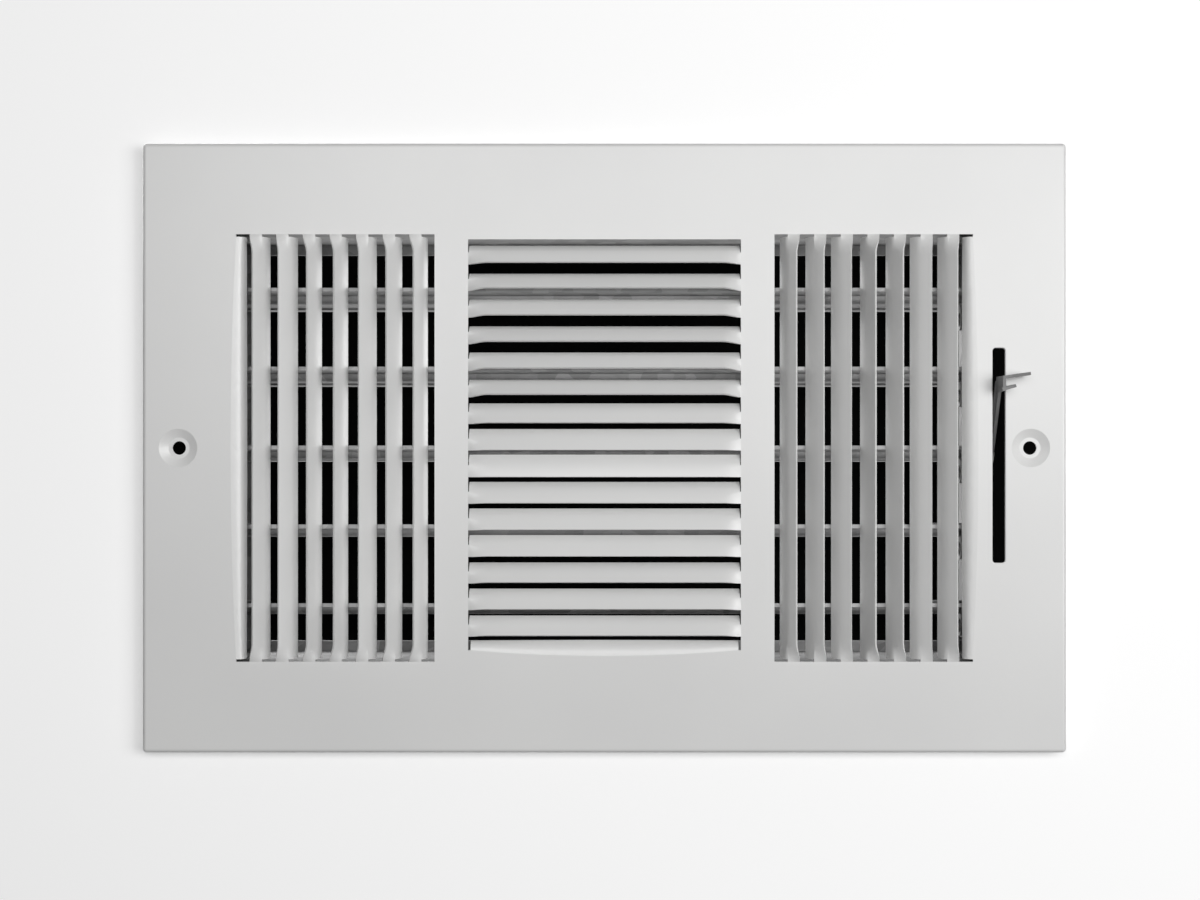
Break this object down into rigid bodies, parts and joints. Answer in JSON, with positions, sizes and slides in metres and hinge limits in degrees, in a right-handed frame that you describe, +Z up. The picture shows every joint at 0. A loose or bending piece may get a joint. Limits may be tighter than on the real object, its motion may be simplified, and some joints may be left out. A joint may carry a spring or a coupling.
{
  "type": "sidewall register",
  "caption": "Stamped steel sidewall register: three banks of fixed louvers in a folded face, with a damper of linked blades worked by a lever in a slot.",
  "frame": {"origin": "centre of the face's outline, on the wall plane that the back rim of the return flange rests on", "axes": "+Z up, +X to the right seen from the room, +Y from the room into the wall; the face looks along -Y"},
  "size_m": [0.2984, 0.0453, 0.1968],
  "materials": {
    "white_enamel": "satin white enamel",
    "zinc_steel": "zinc coated, dull"
  },
  "bodies": {
    "register_frame": {"faceplate": "white_enamel", "damper_top_rail": "zinc_steel", "damper_bottom_rail": "zinc_steel", "damper_left_end_plate": "zinc_steel", "damper_right_end_plate": "zinc_steel", "frame_rivets": "zinc_steel"},
    "blade_1": {"damper_blade_1": "zinc_steel", "tie_bar_pin_1": "zinc_steel"},
    "blade_2": {"damper_blade_2": "zinc_steel", "tie_bar_pin_2": "zinc_steel"},
    "blade_3": {"damper_blade_3": "zinc_steel", "tie_bar_pin_3": "zinc_steel", "control_lever": "zinc_steel", "lever_spacer": "zinc_steel", "lever_push_nut": "zinc_steel"},
    "blade_4": {"damper_blade_4": "zinc_steel", "tie_bar_pin_4": "zinc_steel"},
    "blade_5": {"damper_blade_5": "zinc_steel", "tie_bar_pin_5": "zinc_steel"},
    "tie_bar": {"tie_bar": "zinc_steel"}
  },
  "joints": [
    {"name": "damper_lever", "type": "hinge", "parent": "register_frame", "child": "blade_3", "pos_m": [0, 0.0101, -0.0012], "axis": [1, 0, 0], "range_deg": [-2, 92]},
    {"name": "blade_1_turn", "type": "hinge", "parent": "register_frame", "child": "blade_1", "pos_m": [0, 0.0101, 0.0502], "axis": [1, 0, 0], "range_deg": [-2, 92]},
    {"name": "blade_2_turn", "type": "hinge", "parent": "register_frame", "child": "blade_2", "pos_m": [0, 0.0101, 0.0245], "axis": [1, 0, 0], "range_deg": [-2, 92]},
    {"name": "blade_4_turn", "type": "hinge", "parent": "register_frame", "child": "blade_4", "pos_m": [0, 0.0101, -0.0269], "axis": [1, 0, 0], "range_deg": [-2, 92]},
    {"name": "blade_5_turn", "type": "hinge", "parent": "register_frame", "child": "blade_5", "pos_m": [0, 0.0101, -0.0526], "axis": [1, 0, 0], "range_deg": [-2, 92]},
    {"name": "tie_bar_swing", "type": "hinge", "parent": "blade_3", "child": "tie_bar", "pos_m": [0.1204, 0.01713, -0.00832], "axis": [1, 0, 0], "range_deg": [-92, 2]}
  ],
  "couplings": [
    {"joint": "blade_1_turn", "follows": "damper_lever", "ratio": 1},
    {"joint": "blade_2_turn", "follows": "damper_lever", "ratio": 1},
    {"joint": "blade_4_turn", "follows": "damper_lever", "ratio": 1},
    {"joint": "blade_5_turn", "follows": "damper_lever", "ratio": 1},
    {"joint": "tie_bar_swing", "follows": "damper_lever", "ratio": -1}
  ]
}
